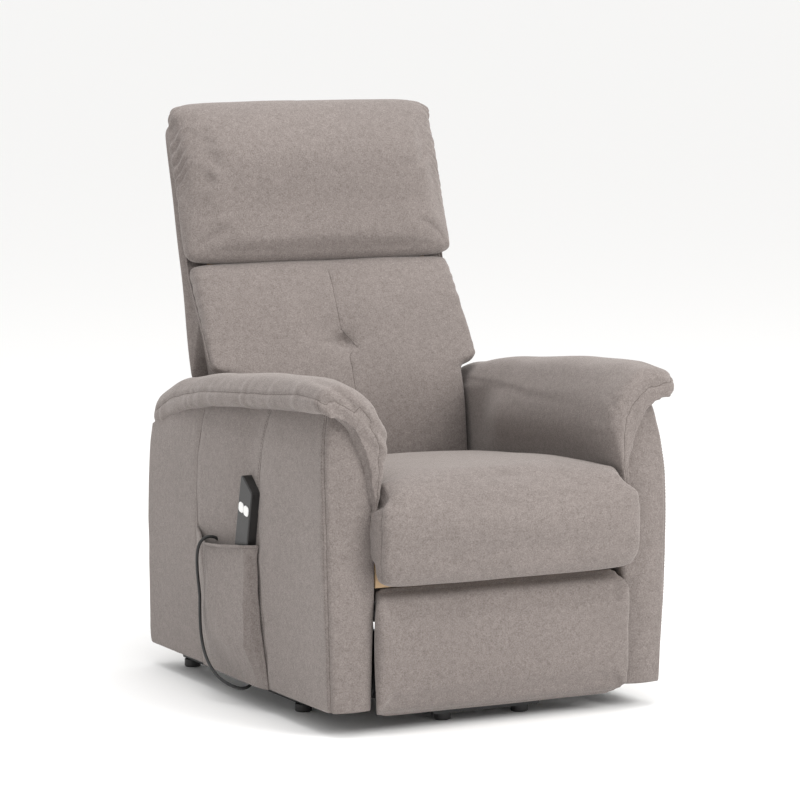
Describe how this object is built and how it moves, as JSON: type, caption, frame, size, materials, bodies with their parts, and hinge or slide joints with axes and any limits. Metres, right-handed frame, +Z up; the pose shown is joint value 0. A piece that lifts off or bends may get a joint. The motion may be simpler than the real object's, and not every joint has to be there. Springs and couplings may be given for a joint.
{
  "type": "lift recliner chair",
  "caption": "Upholstered power lift recliner with padded arms, waterfall seat, folding footrest, rolled headrest, steel lift base and a corded handset in a side pocket.",
  "frame": {"origin": "centre of the chair's footprint, on the floor", "axes": "+Z up, the sitter faces -Y, +X is the sitter's left"},
  "size_m": [0.7766, 0.937, 1.1176],
  "materials": {
    "upholstery": "brushed chenille weave",
    "frame_steel": "satin black powder coat",
    "spring_steel": "plain",
    "frame_wood": "raw plywood",
    "black_plastic": "fine grain",
    "cord_rubber": "smooth",
    "button_white": "satin"
  },
  "bodies": {
    "base": {"base_front_tube": "frame_steel", "base_left_bracket": "frame_steel", "base_left_rail": "frame_steel", "base_motor_bracket": "frame_steel", "base_outrigger": "frame_steel", "base_rear_tube": "frame_steel", "base_right_bracket": "frame_steel", "base_right_rail": "frame_steel", "feet_front": "black_plastic", "feet_middle": "black_plastic", "feet_rear": "black_plastic"},
    "lift_link": {"lift_link_left": "frame_steel", "lift_link_right": "frame_steel", "lift_torque_tube": "frame_steel"},
    "lift_guide_link": {"lift_guide_link_left": "frame_steel", "lift_guide_link_right": "frame_steel"},
    "chassis": {"arm_cover_left": "upholstery", "arm_cover_right": "upholstery", "arm_pad_left": "upholstery", "arm_pad_right": "upholstery", "chassis_front_tube": "frame_steel", "chassis_left_plate": "frame_steel", "chassis_rear_tube": "frame_steel", "chassis_right_plate": "frame_steel", "control_box": "black_plastic", "cord_gland": "black_plastic", "handset_cord": "cord_rubber", "rear_cover": "upholstery", "seat_cushion": "upholstery", "seat_front_rail": "frame_wood", "seat_rear_rail": "frame_wood", "seat_springs": "spring_steel", "side_pocket": "upholstery"},
    "actuator": {"actuator_gearbox": "black_plastic", "actuator_motor": "black_plastic", "actuator_tube": "black_plastic"},
    "actuator_rod": {"actuator_rod": "spring_steel"},
    "footrest_drive_link": {"footrest_drive_link_left": "frame_steel", "footrest_drive_link_right": "frame_steel"},
    "footrest_carry_link": {"footrest_carry_link_left": "frame_steel", "footrest_carry_link_right": "frame_steel"},
    "footrest_guide_link": {"footrest_guide_link_left": "frame_steel", "footrest_guide_link_right": "frame_steel"},
    "footrest": {"footrest_board": "frame_wood", "footrest_bracket_left": "frame_steel", "footrest_bracket_right": "frame_steel", "footrest_cushion": "upholstery"},
    "backrest": {"back_bottom_rail": "frame_wood", "back_cover": "upholstery", "back_hinge_left": "frame_steel", "back_hinge_right": "frame_steel", "back_post_left": "frame_wood", "back_post_right": "frame_wood", "back_top_rail": "frame_wood", "headrest_cushion": "upholstery", "lumbar_cushion": "upholstery"},
    "handset": {"handset_case": "black_plastic", "handset_strain_relief": "cord_rubber"},
    "up_button": {"handset_button_up": "button_white"},
    "down_button": {"handset_button_down": "button_white"}
  },
  "joints": [
    {"name": "lift", "type": "hinge", "parent": "base", "child": "lift_link", "pos_m": [0, -0.1685, 0.092], "axis": [1, 0, 0], "range_deg": [0, 58]},
    {"name": "chassis_tilt", "type": "hinge", "parent": "lift_link", "child": "chassis", "pos_m": [0, 0.1965, 0.118], "axis": [-1, 0, 0], "range_deg": [0, 32.1]},
    {"name": "lift_guide", "type": "hinge", "parent": "base", "child": "lift_guide_link", "pos_m": [0, -0.2357, 0.0944], "axis": [1, 0, 0], "range_deg": [0, 66]},
    {"name": "actuator_swing", "type": "hinge", "parent": "base", "child": "actuator", "pos_m": [0, 0.33, 0.078], "axis": [1, 0, 0], "range_deg": [0, 1.38]},
    {"name": "actuator_stroke", "type": "slide", "parent": "actuator", "child": "actuator_rod", "axis": [0, -0.9777, 0.2098], "range_m": [0, 0.09422]},
    {"name": "footrest_raise", "type": "hinge", "parent": "chassis", "child": "footrest_drive_link", "pos_m": [0, -0.228, 0.25], "axis": [-1, 0, 0], "range_deg": [0, 80]},
    {"name": "footrest_carry", "type": "hinge", "parent": "footrest_drive_link", "child": "footrest_carry_link", "pos_m": [0, -0.258, 0.085], "axis": [1, 0, 0], "range_deg": [0, 125.1]},
    {"name": "footrest_guide", "type": "hinge", "parent": "footrest_drive_link", "child": "footrest_guide_link", "pos_m": [0, -0.2646, 0.0487], "axis": [1, 0, 0], "range_deg": [0, 125.1]},
    {"name": "footrest_turn", "type": "hinge", "parent": "footrest_carry_link", "child": "footrest", "pos_m": [0, -0.364, 0.225], "axis": [-1, 0, 0], "range_deg": [0, 125.1]},
    {"name": "recline", "type": "hinge", "parent": "chassis", "child": "backrest", "pos_m": [0, 0.205, 0.33], "axis": [-1, 0, 0], "range_deg": [0, 38]},
    {"name": "handset_lift", "type": "slide", "parent": "chassis", "child": "handset", "axis": [0, -0.2164, 0.9763], "range_m": [0, 0.12]},
    {"name": "press_up", "type": "slide", "parent": "handset", "child": "up_button", "axis": [1, 0, 0], "range_m": [0, 0.0014], "stiffness_N_per_m": 600, "springref_m": -0.0006},
    {"name": "press_down", "type": "slide", "parent": "handset", "child": "down_button", "axis": [1, 0, 0], "range_m": [0, 0.0014], "stiffness_N_per_m": 600, "springref_m": -0.0006}
  ],
  "couplings": [
    {"joint": "chassis_tilt", "follows": "lift", "ratio": 0.55172},
    {"joint": "lift_guide", "follows": "lift", "ratio": 1.1362},
    {"joint": "actuator_swing", "follows": "lift", "ratio": 0.022},
    {"joint": "actuator_stroke", "follows": "lift", "m_per_rad": 0.092876},
    {"joint": "footrest_carry", "follows": "footrest_raise", "ratio": 1.5625},
    {"joint": "footrest_guide", "follows": "footrest_raise", "ratio": 1.5625},
    {"joint": "footrest_turn", "follows": "footrest_raise", "ratio": 1.5625}
  ]
}
